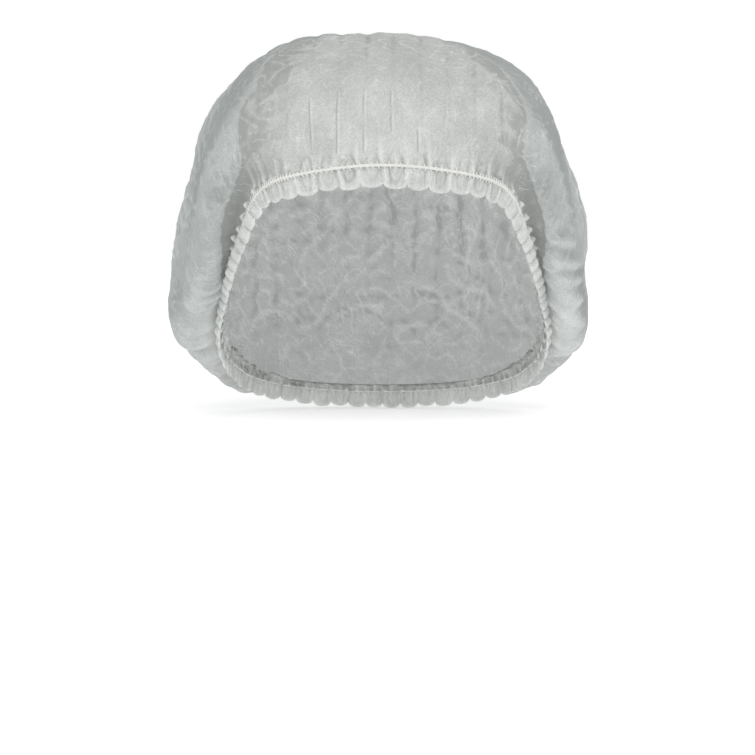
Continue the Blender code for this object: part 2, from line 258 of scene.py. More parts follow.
class ColourSettings(bpy.types.PropertyGroup):
    """Colours of the cloth, the elastic and the stage."""

    cloth: paint("Cloth", "Colour of the cloth", (0.555, 0.565, 0.555))
    # The doubled colour also carries the painted highlight on crests and the painted light over the
    # forehead and on the lobes; the shade colour is that of the painted shade in folds
    doubled: paint("Doubled cloth", "Colour where the cloth lies double in a crease", (0.925, 0.93, 0.915))
    shade: paint("Shade", "Colour in the depth of a fold", (0.365, 0.375, 0.362))
    elastic: paint("Elastic", "Colour of the elastic", (0.985, 0.985, 0.965))
    floor: paint("Floor", "Colour of the floor", (0.86, 0.86, 0.86))


class CapSettings(bpy.types.PropertyGroup):
    """Everything that can be set on the cap."""

    opening: PointerProperty(type=OpeningSettings, name="Opening", description="Line of the elastic")
    crown: PointerProperty(type=CrownSettings, name="Crown", description="Bag of cloth")
    frill: PointerProperty(type=FrillSettings, name="Frill", description="Ruffled hem")
    elastic: PointerProperty(type=ElasticSettings, name="Elastic", description="Elastic and stitches")
    colours: PointerProperty(type=ColourSettings, name="Colours", description="Colours of the cap")


def column(places, name, odd=False):
    """A column of the table of stations at many places round the cap, on Catmull-Rom curves."""
    values = [getattr(station, name) for station in STATIONS]
    last = len(values) - 1
    sign = -1.0 if odd else 1.0
    values = np.array([sign * values[1], *values, sign * values[last - 1]])
    way = np.minimum(places, 1.0 - places) * 2 * last
    row = np.minimum(way.astype(int), last - 1)
    share = way - row
    before, here, after, beyond = (values[row + step] for step in range(4))
    slope_here = (after - before) / 2
    slope_after = (beyond - here) / 2
    step = here - after
    cubic = 2 * step + slope_here + slope_after
    square = -3 * step - 2 * slope_here - slope_after
    return here + share * (slope_here + share * (square + share * cubic))


def unit(vectors):
    return vectors / np.maximum(np.linalg.norm(vectors, axis=-1, keepdims=True), 1e-12)


def smooth_step(low, high, values):
    """0 up to low and 1 from high on, with a smooth way between, or the other way round."""
    share = np.clip((values - low) / (high - low), 0.0, 1.0)
    return share * share * (3 - 2 * share)


def between(places, known, points):
    """Reads a line of points at places between the known ones."""
    return np.stack([np.interp(places, known, values) for values in points.T], axis=-1)


def bell(values, middle, width):
    """1 at the middle, falling smoothly to both sides."""
    return np.exp(-(((values - middle) / width) ** 2))


def sideways_at(places):
    """1 along the sides, where the gathers lie close, and 0 at the forehead."""
    return smooth_step(0.72, 0.90, column(places, "gathers"))


def neck_length(places):
    """How far the cloth runs flat above the elastic before it puffs out, further at the sides."""
    return 0.0036 + 0.0031 * sideways_at(places)


class Rim:
    """The elastic's line with the ways outwards and down the frill, and the gathers along it."""

    def __init__(self, opening):
        self.opening = opening
        places = np.arange(RIM_SAMPLES) / RIM_SAMPLES
        side = np.where(places <= 0.5, 1.0, -1.0)
        self.points = np.stack(
            [
                side * column(places, "rim_across", odd=True) * opening.width / 2,
                column(places, "rim_along") * opening.length - opening.reach,
                -opening.forehead_drop
                - column(places, "rim_drop") * (opening.nape_drop - opening.forehead_drop),
            ],
            axis=1,
        )
        along = unit(np.roll(self.points, -1, 0) - np.roll(self.points, 1, 0))
        middle = opening.length / 2 - opening.reach
        out = np.zeros_like(self.points)
        out[:, 0] = self.points[:, 0] / opening.width**2
        out[:, 1] = (self.points[:, 1] - middle) / opening.length**2
        self.out = unit(out - (out * along).sum(1, keepdims=True) * along)
        self.hang = np.cross(along, self.out)
        steps = np.linalg.norm(np.roll(self.points, -1, 0) - self.points, axis=1)
        walked = np.concatenate([[0.0], np.cumsum(steps * column(places, "gathers"))])
        self.gathered = walked / walked[-1]
        self.places = np.arange(RIM_SAMPLES + 1) / RIM_SAMPLES
        self.length = steps.sum()

    def place_of(self, shares):
        """The place in the table at these shares of all the gathers."""
        return np.interp(shares % 1.0, self.gathered, self.places)

    def at(self, shares):
        """Points, ways out and ways down at these shares of all the gathers."""
        tables = (self.points, self.out, self.hang)
        place = self.place_of(shares)
        return [between(place, self.places, np.vstack([table, table[:1]])) for table in tables]


class Surface:
    """The crown's plain form as a table of points, from which any place on it is read."""

    def __init__(self, rim, settings):
        crown = settings.crown
        shares = np.arange(TABLE_COLUMNS) / TABLE_COLUMNS
        places = rim.place_of(shares)
        neck = neck_length(places)[:, None]
        point, self.out, hang = rim.at(shares)
        side = np.where(places <= 0.5, 1.0, -1.0)
        reach = np.where(side > 0, column(places, "left", odd=True), column(places, "right", odd=True))
        puff = np.stack(
            [
                side * reach * crown.width / 2,
                column(places, "along") * crown.length - rim.opening.reach,
                point[:, 2] + column(places, "lift") * crown.lift,
            ],
            axis=1,
        )
        neck_point = point - hang * neck
        sag = column(places, "sag")[:, None]
        level = puff - neck_point
        level[:, 2] = 0.0
        hung = smooth_step(0.12, 0.58, sag[:, 0])
        whole = puff[:, 2] - point[:, 2] + sag[:, 0] * crown.sag
        short = 0.4 * (puff[:, 2] - neck_point[:, 2])
        down = np.zeros_like(puff)
        down[:, 2] = -(whole * hung + short * (1 - hung))
        out_first = level / 3 + hang * sag * crown.roll
        up_first = 0.35 * (puff - neck_point)
        hung = hung[:, None]
        handles = (neck_point, neck_point + out_first * hung + up_first * (1 - hung), puff + down, puff)
        line = [point]
        for index in range(CURVE_SAMPLES):
            share = index / CURVE_SAMPLES
            rest = 1 - share
            weights = (rest**3, 3 * rest**2 * share, 3 * rest * share**2, share**3)
            line.append(sum(w * h for w, h in zip(weights, handles)))
        square = column(places, "square")
        lean = column(places, "lean")
        for index in range(CURVE_SAMPLES + 1):
            angle = math.pi / 2 * index / CURVE_SAMPLES
            rise = math.sin(angle) ** (2 / square)
            inward = (1 - lean * rise) * max(math.cos(angle), 0.0) ** (2 / 2.5)
            line.append(np.stack([puff[:, 0] * inward, puff[:, 1] * inward, puff[:, 2] * (1 - rise)], 1))
        line = np.stack(line, axis=1)
        walked = np.cumsum(np.linalg.norm(np.diff(line, axis=1), axis=2), axis=1)
        walked = np.hstack([np.zeros((TABLE_COLUMNS, 1)), walked])
        self.lengths = walked[:, -1]
        rows = np.linspace(0.0, 1.0, TABLE_ROWS + 1)
        self.points = np.stack([between(rows * way[-1], way, points) for way, points in zip(walked, line)])
        around = np.roll(self.points, -1, 0) - np.roll(self.points, 1, 0)
        upward = np.gradient(self.points, axis=1)
        self.normals = unit(np.cross(around, upward))
        self.normals[:, -1] = (0.0, 0.0, 1.0)
        blend = smooth_step(0.3, 1.1, rows[None, :] * self.lengths[:, None] / neck)[..., None]
        self.normals = unit(self.normals * blend + self.out[:, None, :] * (1 - blend))

    def read(self, table, shares, rises):
        """A table's values at these shares of the gathers and these rises up the cloth."""
        across = (shares % 1.0) * TABLE_COLUMNS
        left = across.astype(int) % TABLE_COLUMNS
        right = (left + 1) % TABLE_COLUMNS
        up = np.clip(rises, 0.0, 1.0) * TABLE_ROWS
        low = np.minimum(up.astype(int), TABLE_ROWS - 1)
        a = (across - across.astype(int))[:, None]
        b = (up - low)[:, None]
        below = table[left, low] * (1 - a) + table[right, low] * a
        above = table[left, low + 1] * (1 - a) + table[right, low + 1] * a
        return below * (1 - b) + above * b

    def length_at(self, shares):
        grid = np.arange(TABLE_COLUMNS + 1) / TABLE_COLUMNS
        return np.interp(shares % 1.0, grid, np.append(self.lengths, self.lengths[0]))

    def frame_at(self, turn, rise, slant):
        """A place on the plain crown, with the ways along and across a fold there."""
        angle = math.radians(turn)
        row = round(rise * TABLE_ROWS)
        turns = np.arctan2(self.points[:, row, 0], -self.points[:, row, 1])
        index = int(np.argmax(np.cos(turns - angle)))
        here = self.points[index, row]
        up = unit(self.points[index, min(row + 4, TABLE_ROWS)] - here)
        around = self.points[(index + 5) % TABLE_COLUMNS, row] - self.points[index - 5, row]
        around = unit(around - around.dot(up) * up)
        lean = math.radians(slant)
        along = up * math.cos(lean) + around * math.sin(lean)
        return here, along, around * math.cos(lean) - up * math.sin(lean)


def noise_at(points, scale, shift):
    """Smooth noise from -1 to 1 at many points."""
    moved = points * scale + shift
    return np.fromiter((noise.noise(Vector(p)) for p in moved), float, len(moved))


def crumple_at(points, scale, shift):
    """Crumpled creases, high on a crest and falling to both sides, along wandering lines."""
    bent = points + 0.25 / scale * np.stack(
        [noise_at(points, scale * 0.7, shift + step) for step in (11.0, 23.0, 37.0)], axis=1
    )
    crest = 1.0 - np.minimum(np.abs(noise_at(bent, scale, shift)) * 3.2, 1.0)
    return crest**2 - 0.3


def facets_at(points, scale, shift):
    """Crumpled facets, which rise from their borders to a flat middle."""
    nearest = [noise.voronoi(Vector(p))[0] for p in points * scale + shift]
    return np.minimum([found[1] - found[0] for found in nearest], 0.5) - 0.25


def gather_relief(at, settings, rng):
    """Ridges that rise from the elastic, fine and flat at the forehead, like small leaves at the sides.

    It gives their height, and how white the cloth is where it is gathered.
    """
    gathers = settings.opening.gathers
    height = rng.uniform(0.55, 1.15, gathers)
    nearest = np.round(at.phase).astype(int) % gathers
    lean = rng.uniform(-12.0, 12.0, gathers)
    shift = rng.uniform(-0.12, 0.12, gathers)
    away = at.phase - np.round(at.phase) - shift[nearest] - lean[nearest] * at.distance
    leaf = bell(away, 0.0, 0.15) * bell(at.distance, 0.0042, 0.0028) * height[nearest]
    total = 0.0024 * at.sideways * leaf
    white = np.zeros_like(at.phase)
    for parts, width, share in ((1, 0.13, 1.0), (2, 0.16, 0.45)):
        count = gathers * parts
        height = rng.uniform(0.2, 1.15, count)
        reach = settings.crown.gather_reach * rng.uniform(0.45, 1.5, count) * (0.5 + 0.5 / parts)
        lean = rng.uniform(-12.0, 12.0, count) * parts
        shift = rng.uniform(-0.15, 0.15, count)
        fine = at.phase * parts
        nearest = np.round(fine).astype(int) % count
        away = fine - np.round(fine) - shift[nearest] - lean[nearest] * at.distance
        ridge = bell(away, 0.0, width + 5.0 * parts * at.distance)
        tall = height[nearest] * np.exp(-at.distance / reach[nearest])
        low = settings.crown.gather_height * share * (0.36 + 0.40 * at.sideways)
        total += low * (1.2 * ridge - 0.25) * tall
        white = np.maximum(white, bell(away, 0.0, 0.09 * parts + 4.0 * parts * at.distance) * tall)
    return total, white


def puff_shade_rings(phase, distance, gathers):
    """Painted shade in rings round the small puffs that stand across the elastic between two gathers, from
    0 to 1.
    """
    rng = np.random.default_rng(RING_SEED)
    lobe = np.floor(phase).astype(int) % gathers
    strong = rng.uniform(0.5, 1.0, gathers)[lobe]
    middle = 0.5 + rng.uniform(-0.10, 0.10, gathers)[lobe]
    width = rng.uniform(0.24, 0.34, gathers)[lobe]
    tall = rng.uniform(0.0070, 0.0100, gathers)[lobe]
    far = np.hypot((phase - np.floor(phase) - middle) / width, distance / tall)
    inner = rng.uniform(0.2, 0.9, gathers)[lobe]
    return strong * (bell(far, 0.9, 0.18) + inner * bell(far, 0.45, 0.15))


class Fan(NamedTuple):
    """Folds that fan out of the gathers: how many, their reach, width in gathers, height, and where."""

    count: int
    shortest: float
    longest: float
    width: float
    height: float
    where: str


FANS = (
    Fan(90, 0.018, 0.040, 0.22, 0.0006, "everywhere"),
    Fan(34, 0.040, 0.080, 0.50, 0.0010, "slack"),
    Fan(60, 0.045, 0.120, 0.30, 0.0016, "behind"),
    Fan(90, 0.030, 0.065, 0.17, 0.0026, "over_ears"),
)


def fan_relief(at, fan, gathers, rng):
    """The height of one fan of long soft folds, as a sum of single ridges."""
    total = np.zeros_like(at.phase)
    distance = at.distance
    for _ in range(fan.count):
        start = rng.uniform(0, gathers)
        reach = rng.uniform(fan.shortest, fan.longest)
        lean = rng.uniform(-30.0, 30.0)
        bend = rng.uniform(-400.0, 400.0)
        away = (at.phase - start + gathers / 2) % gathers - gathers / 2
        away = away - lean * distance - bend * distance**2
        fade = smooth_step(0.001, 0.007, distance) * np.clip(1 - distance / reach, 0.0, 1.0)
        total += rng.uniform(0.5, 1.0) * bell(away, 0.0, fan.width + 8.0 * distance) * fade
    return total * fan.height * getattr(at, fan.where)


def pleat_relief(at, crown):
    """Low puffs between the lines along which the cloth was packed, with a faint groove at each line."""
    points = at.plain
    across = (points[:, 0] + 0.0012 * noise_at(points, 22.0, 4.0) - PLEAT_START) / crown.pleat_pitch
    line = np.round(across)
    tier = 0.014
    up = (at.distance + 0.0012 * noise_at(points, 30.0, 9.0) - 0.006) / tier
    marks = np.stack([line * 3.7, np.floor(up) * 5.3, np.zeros_like(up)], axis=1)
    shown = np.clip(noise_at(marks, 1.0, 13.0) * 2.0 + 0.55, 0.0, 1.0)
    upright = shown * np.exp(-np.abs(across - line) * crown.pleat_pitch / 0.0012)
    fade = 1 - smooth_step(0.055, 0.085, np.abs(points[:, 0]))
    front = 0.30 + 0.70 * smooth_step(0.02, -0.05, points[:, 1])
    puff = np.sin(np.pi * (across - np.floor(across))) * np.sin(np.pi * (up - np.floor(up)))
    return crown.pleat_height * (0.45 * puff - 0.22 * upright) * fade * front


def crest_relief(at, crown):
    """Grooves that run back over the crest of the crown and notch its outline."""
    points = at.plain
    pitch = crown.pleat_pitch
    across = (points[:, 0] - PLEAT_START + 0.003 * noise_at(points, 24.0, 3.0)) / pitch
    groove = bell((across - np.round(across)) * pitch, 0.0, 0.0022)
    crest = smooth_step(-0.018, -0.004, points[:, 2])
    crest = np.maximum(crest, smooth_step(0.0, 0.04, points[:, 1]))
    fade = 1 - smooth_step(0.060, 0.090, np.abs(points[:, 0]))
    uneven = np.clip(0.3 + 2.0 * noise_at(points, 26.0, 8.0), 0.0, 1.2)
    rounded = np.cos(FULL_TURN * across) * smooth_step(0.0, 0.05, points[:, 1])
    calm = 0.40 + 0.60 * smooth_step(-0.10, -0.03, points[:, 2])
    return -(0.0009 * groove * uneven + 0.0005 * rounded * (0.4 + uneven)) * crest * fade * calm


def fold_relief(at):
    """The height of the single larger folds."""
    total = np.zeros(len(at.plain))
    for fold in FOLDS:
        middle, along, across = at.surface.frame_at(fold.turn, fold.rise, fold.slant)
        offset = (at.plain - middle) / MILLIMETRE
        sideways = offset @ across / fold.width
        depth = (offset**2).sum(1) - (offset @ along) ** 2 - (offset @ across) ** 2
        deep = np.maximum(depth, 0.0) / 2 / fold.width**2
        soft = np.exp(-(sideways**2) - deep)
        crested = np.exp(-1.6 * np.abs(sideways) - deep)
        side = soft * (1 - fold.sharp) + crested * fold.sharp
        total += fold.height * MILLIMETRE * bell(offset @ along, 0.0, fold.length) * side
    return total


class Zone(NamedTuple):
    """A part of the crown: its turn and spread in degrees, and how far up it is whole and gone."""

    turn: float
    spread: float
    whole: float
    gone: float

    def share(self, degrees, distance):
        return bell(degrees, self.turn, self.spread) * smooth_step(self.gone, self.whole, distance)


# The hollow between the forehead and the ears, the shoulder over it, and the lobe over each ear: painted
# shade falls in the hollow and on the shoulder, and painted light on the lobes
HOLLOW = Zone(50, 16, 0.020, 0.046)
SHOULDER = Zone(55, 14, 0.060, 0.040)
LEFT_LOBE = Zone(90, 22, 0.024, 0.042)
RIGHT_LOBE = Zone(97, 17, 0.019, 0.037)


class CrownPlaces:
    """Where each point of the crown lies on the cloth, and how far it belongs to each part of the cap."""

    def __init__(self, shares, rises, settings):
        rim = Rim(settings.opening)
        self.surface = Surface(rim, settings)
        self.plain = self.surface.read(self.surface.points, shares, rises)
        self.normals = unit(self.surface.read(self.surface.normals, shares, rises))
        self.distance = distance = rises * self.surface.length_at(shares)
        self.phase = shares * settings.opening.gathers
        place = rim.place_of(shares)
        self.clear = smooth_step(0.0, 0.020, distance - neck_length(place))
        self.sideways = sideways_at(place)

        turn = np.arctan2(self.plain[:, 0], -self.plain[:, 1])
        degrees = np.abs(np.degrees(turn))
        backward = (1 - np.cos(turn)) / 2

        # Where each fan of folds lies, and where the cloth is loose or tight
        slack = 0.45 + 0.55 * smooth_step(0.06, 0.30, backward)
        self.everywhere = 1.0
        self.slack = np.maximum(slack, 0.9 * smooth_step(-0.045, -0.020, self.plain[:, 2]))
        self.behind = smooth_step(0.45, 0.75, backward)
        self.over_ears = smooth_step(60, 75, degrees) * smooth_step(125, 110, degrees)
        puffed = smooth_step(60, 85, degrees) * smooth_step(0.040, 0.075, distance)
        self.loose = self.slack + 1.1 * puffed
        self.front = smooth_step(0.108, 0.080, distance)
        self.tight = 0.5 + 0.5 * smooth_step(0.030, 0.060, distance)
        self.tight += 0.6 * smooth_step(0.060, 0.085, distance) * self.front
        self.groove = smooth_step(0.004, 0.009, distance) * (1 - smooth_step(0.010, 0.022, distance))
        self.groove *= self.sideways

        # The parts of the cap on its two sides, the places of painted shade where the cloth turns, on the
        # shoulder and in the hollow, and the smooth band over the forehead, which gets painted light
        self.left = turn > 0
        lobes = [lobe.share(degrees, distance) for lobe in (LEFT_LOBE, RIGHT_LOBE)]
        self.lobes = np.where(self.left, *lobes)
        self.turned = bell(degrees, 92, 14) * bell(distance, 0.040, 0.012)
        self.shoulder = SHOULDER.share(degrees, distance)
        self.hollow = HOLLOW.share(degrees, distance)
        # Painted light: a brighter band over the middle of the forehead, a little towards +X
        painted_front_light = np.exp(-(((self.plain[:, 0] - 0.008) / 0.050) ** 4))
        self.painted_front_light = painted_front_light * smooth_step(0.066, 0.034, distance) * smooth_step(0.0, -0.05, self.plain[:, 1])

        # The border where the cloth comes away from the forehead, and the patchy shade beside it
        border = 39.5 + 38 * smooth_step(0.021, 0.013, distance) + 3.5 * noise_at(self.plain, 45.0, 6.0)
        above = smooth_step(0.012, 0.017, distance)
        self.patchy = 0.68 + 0.5 * noise_at(self.plain, 75.0, 9.0) + 0.6 * noise_at(self.plain, 260.0, 4.0)
        self.patchy = np.clip(self.patchy, 0.0, 1.3)
        self.away = smooth_step(border - 0.8, border + 2.2, degrees) * above
        beside = (1 - self.away) * smooth_step(border - 15, border - 1, degrees) * above
        self.beside = beside * self.front * self.patchy
        # Painted cool shade: a bluish tint on the cloth away from the forehead, less on the lobes and at
        # the back
        self.cool = self.away * (1 - 0.4 * self.lobes) * (1 - 0.6 * smooth_step(0.5, 0.8, backward))

    def relief(self, settings, rng):
        """How far the cloth stands out from its plain form, and how white its gathers are."""
        crown = settings.crown
        relief, white = gather_relief(self, settings, rng)
        for fan in FANS:
            relief += fan_relief(self, fan, settings.opening.gathers, rng)
        relief += 0.0007 * self.away * self.front - 0.0026 * self.groove
        relief += settings.elastic.seat * (1 - smooth_step(0.002, 0.011, self.distance))
        relief += (fold_relief(self) + pleat_relief(self, crown)) * self.clear
        relief += crest_relief(self, crown)
        waves = 0.8 * noise_at(self.plain, 26.0, 3.0)
        waves += 0.30 * crumple_at(self.plain, 46.0, 7.0) + 0.50 * facets_at(self.plain, 60.0, 2.0)
        creases = 0.34 * crumple_at(self.plain, 105.0, 19.0)
        relief += crown.crumple_height * (waves * self.loose + creases * self.tight) * self.clear
        relief += 0.00006 * noise_at(self.plain, 420.0, 5.0) * self.clear
        return relief, white

    def shade(self, bulge, gathers):
        """Painted shade and light, from 0 in the depth of a fold to 1 on a crest as far as the cloth
        bulges, with painted shade round the puffs, in the groove, on the shoulder, where the cloth turns,
        beside the forehead border and in the hollow, and painted light on the lobes.
        """
        # Painted highlight on crests and painted shade in folds, from the cloth's bulge
        shade = 0.5 + 1500.0 * bulge * (1 - 0.7 * self.lobes)
        shade += np.where(self.left, 0.20, 0.42) * self.lobes
        shade -= 0.28 * puff_shade_rings(self.phase, self.distance, gathers) * (1 - 0.8 * self.sideways)
        shade -= 0.20 * self.groove + 0.62 * self.shoulder + 0.34 * self.turned + 0.52 * self.beside
        shade -= 0.42 * self.hollow * (0.4 + 0.6 * self.patchy)
        return np.clip(shade, 0.0, 1.0)

    def doubled(self, white):
        """How far the cloth lies double at the gathers, with painted light over the forehead and on the
        lobes.
        """
        near_rim = (0.25 + 0.55 * white) * bell(self.distance, 0.0, 0.010) * (1 - 0.4 * self.sideways)
        return near_rim + 0.42 * self.painted_front_light + 0.56 * self.lobes


def shaded(mesh, name, values):
    """Keeps a value for each vertex, which the cloth's material reads by this name."""
    attribute = mesh.attributes.new(name, "FLOAT", "POINT")
    attribute.data.foreach_set("value", np.asarray(values, np.float32))


def set_uv(mesh, across, up):
    """Lays the cloth out flat in metres on the piece's own UV map."""
    layer = mesh.uv_layers.new(name="Cloth")
    corners = np.empty(len(mesh.loops), np.int32)
    mesh.loops.foreach_get("vertex_index", corners)
    flat = np.stack([across[corners], up[corners]], axis=1).astype(np.float32)
    layer.data.foreach_set("uv", flat.reshape(-1))


def mesh_of(bm, name):
    """Writes a bmesh to a new mesh and frees it."""
    mesh = bpy.data.meshes.new(name)
    bm.to_mesh(mesh)
    bm.free()
    return mesh


def coordinates(mesh):
    points = np.empty(len(mesh.vertices) * 3, np.float32)
    mesh.vertices.foreach_get("co", points)
    return points.reshape(-1, 3).astype(float)


def placed(mesh, points):
    """Moves a mesh's vertices to these points."""
    mesh.vertices.foreach_set("co", points.astype(np.float32).reshape(-1))
    mesh.update()


def face_outwards(mesh, way):
    """Turns the faces round if the one that lies furthest this way looks back."""
    way = Vector(way)
    outermost = max(mesh.polygons, key=lambda face: face.center.dot(way))
    if outermost.normal.dot(way) < 0:
        mesh.flip_normals()


def finished(name, mesh, material, node):
    """Puts a piece in the scene on the cap's one body, in place of its CAD node."""
    mesh.materials.append(material)
    mesh.shade_smooth()
    obj = bpy.data.objects.new(name, mesh)
    bpy.context.scene.collection.objects.link(obj)
    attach(obj, "root")
    if node:
        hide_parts(node)
    return obj


def blurred(grid, times):
    """The grid's points after each has been moved to the middle of its neighbours so many times."""
    for _ in range(times):
        wide = np.pad(grid, ((1, 1), (1, 1), (0, 0)), mode="edge")
        grid = (wide[:-2, 1:-1] + wide[2:, 1:-1] + wide[1:-1, :-2] + wide[1:-1, 2:]) / 4
    return grid


def rgba(colour):
    return (*colour, 1.0)


class Shader:
    """Makes the nodes of a material or world, with short calls for what the cloth and the thread need."""

    def __init__(self, owner):
        self.owner = owner
        owner.use_nodes = True
        self.tree = owner.node_tree
        self.tree.nodes.clear()

    def feed(self, socket, value):
        """Links a socket to another node's output, or sets its plain value."""
        if isinstance(value, bpy.types.NodeSocket):
            self.tree.links.new(value, socket)
        else:
            socket.default_value = value

    def node(self, kind, inputs=(), **settings):
        made = self.tree.nodes.new(kind)
        for key, value in settings.items():
            setattr(made, key, value)
        for key, value in dict(inputs).items():
            self.feed(made.inputs[key], value)
        return made

    def output(self, kind, **inputs):
        """The first output of a new node with these inputs."""
        return self.node(kind, inputs).outputs[0]

    def finish(self, surface, kind="ShaderNodeOutputMaterial"):
        """Links the last shader to the output, and gives the finished material or world."""
        self.node(kind, {"Surface": surface})
        return self.owner

    def attribute(self, name):
        return self.node("ShaderNodeAttribute", attribute_name=name).outputs["Fac"]

    def maths(self, operation, first, second=0.0):
        return self.node("ShaderNodeMath", {0: first, 1: second}, operation=operation).outputs[0]

    def chain(self, operation, values):
        """Puts many values through one operation, two at a time."""
        result = values[0]
        for value in values[1:]:
            result = self.maths(operation, result, value)
        return result

    def times(self, *values):
        return self.chain("MULTIPLY", values)

    def total(self, *values):
        return self.chain("ADD", values)

    def most(self, *values):
        return self.chain("MAXIMUM", values)

    def apart(self, first, second):
        """How far two values lie apart."""
        return self.maths("ABSOLUTE", self.maths("SUBTRACT", first, second))

    def spread(self, value, low, high, to_low=0.0, to_high=1.0):
        """Maps a value from one range to another, smoothly and within its ends."""
        inputs = {"Value": value, "From Min": low, "From Max": high, "To Min": to_low, "To Max": to_high}
        made = self.node("ShaderNodeMapRange", inputs, interpolation_type="SMOOTHSTEP")
        return made.outputs["Result"]

    def noise(self, vector, scale, detail=2.0, roughness=0.5, distortion=0.0):
        inputs = {"Vector": vector, "Scale": scale, "Detail": detail}
        inputs |= {"Roughness": roughness, "Distortion": distortion}
        return self.node("ShaderNodeTexNoise", inputs).outputs["Fac"]

    def mapped(self, vector, scale, turns=(0.0, 0.0, 0.0)):
        turned = tuple(math.radians(angle) for angle in turns)
        first = self.node("ShaderNodeMapping", {"Vector": vector, "Rotation": turned}).outputs["Vector"]
        return self.node("ShaderNodeMapping", {"Vector": first, "Scale": scale}).outputs["Vector"]

    def hairs(self, vector, scale, turns, width):
        """Long fine wavy lines, which lie where a stretched noise passes its middle."""
        field = self.noise(self.mapped(vector, scale, turns), 1.0, detail=2.0, distortion=0.12)
        return self.spread(self.apart(field, 0.5), 0.0, width, 1.0, 0.0)

    def picked(self, across, up, low, high):
        """Picks some cells of a pattern by their numbers, as if at random."""
        key = self.node("ShaderNodeCombineXYZ", {"X": across, "Y": up}).outputs[0]
        return self.spread(self.noise(key, 1.0, detail=1.0), low, high)

    def parts(self, vector):
        return self.node("ShaderNodeSeparateXYZ", {"Vector": vector}).outputs

    def mixed(self, share, first, second):
        """Mixes two colours."""
        made = self.node("ShaderNodeMix", {0: share, 6: first, 7: second}, data_type="RGBA")
        return made.outputs[2]

    def bump(self, height, depth):
        return self.output("ShaderNodeBump", Height=height, Strength=0.35, Distance=depth)

    def lit(self, colour, bump, roughness, shine, through, **glow):
        """A rough surface that lets a share of the light through."""
        inputs = {"Base Color": colour, "Roughness": roughness, "Specular IOR Level": shine, "Normal": bump}
        front = self.node("ShaderNodeBsdfPrincipled", inputs).outputs[0]
        back = self.output("ShaderNodeBsdfTranslucent", Color=colour, **glow)
        return self.either(through, front, back)

    def either(self, share, first, second):
        """Mixes two shaders."""
        return self.node("ShaderNodeMixShader", {0: share, 1: first, 2: second}).outputs[0]


def pleat_shadows_and_highlights(make, place, up, pitch):
    """Painted shadow lines along the pleat lines where the cloth lay folded in its packet, painted
    highlight beside them, and small light arches.
    """
    sides = make.parts(place)["X"]
    wander = make.times(make.total(make.noise(place, 24.0, detail=1.0), -0.5), 0.0042)
    across = make.times(make.total(sides, wander, -0.0034), 1.0 / pitch)
    line = make.maths("ROUND", across)
    panel = make.maths("FLOOR", across)
    away = make.times(make.maths("SUBTRACT", across, line), pitch)
    # Painted shadow along each pleat line, and painted highlight beside it
    pleat_shadow = make.spread(make.maths("ABSOLUTE", away), 0.0001, 0.0006, 1.0, 0.0)
    light = make.spread(make.apart(away, 0.0010), 0.0, 0.0009, 1.0, 0.0)
    shown = make.picked(make.times(line, 7.3), make.times(up, 42.0), 0.44, 0.54)
    low = make.times(make.spread(up, 0.006, 0.009), make.spread(up, 0.032, 0.040, 1.0, 0.12))
    middle = make.spread(make.maths("ABSOLUTE", sides), 0.050, 0.066, 1.0, 0.0)
    centre = make.spread(make.apart(sides, -0.0080), 0.028, 0.040, 1.0, 0.15)
    shown = make.times(shown, low, middle, centre)

    tall = 0.0100
    bow = make.maths("SINE", make.times(make.maths("SUBTRACT", across, panel), math.pi))
    tier = make.times(make.maths("SUBTRACT", up, make.times(bow, 0.0050)), 1.0 / tall)
    step = make.maths("ROUND", tier)
    arch = make.spread(make.times(make.apart(tier, step), tall), 0.0001, 0.0008, 1.0, 0.0)
    chosen = make.picked(make.times(panel, 5.1), make.times(step, 3.3), 0.45, 0.55)
    arch = make.times(arch, chosen, make.spread(up, 0.036, 0.056), middle)
    return make.times(pleat_shadow, shown), make.total(make.times(light, shown), arch)


